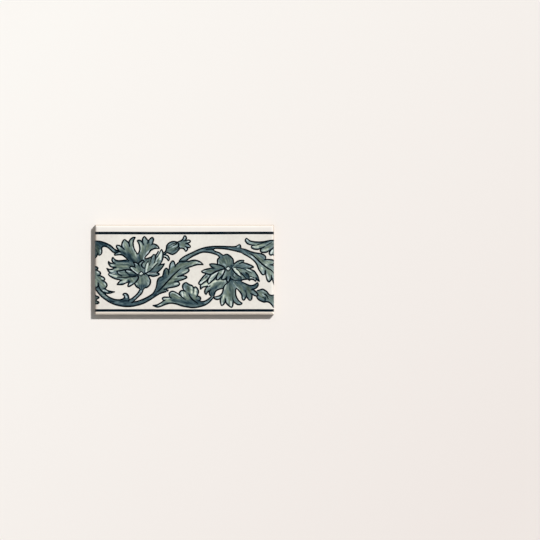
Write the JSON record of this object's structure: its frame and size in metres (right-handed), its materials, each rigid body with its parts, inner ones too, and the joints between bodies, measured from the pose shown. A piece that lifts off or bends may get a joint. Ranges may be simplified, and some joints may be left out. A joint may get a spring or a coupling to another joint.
{
  "type": "border tile",
  "caption": "Oblong glazed wall border tile with a cushioned face edge, a keyed back and a scrolling leaf and flower frieze between two dark rules.",
  "frame": {"origin": "middle of the tile's back, on the plane it is bedded on", "axes": "+X along the tile's length, +Y up the decoration, +Z out of the glazed face"},
  "size_m": [0.152, 0.076, 0.008],
  "materials": {
    "glazed_body": "warm white gloss glaze over a pressed earthenware body"
  },
  "bodies": {
    "root": {"border_tile": "glazed_body"}
  },
  "joints": []
}
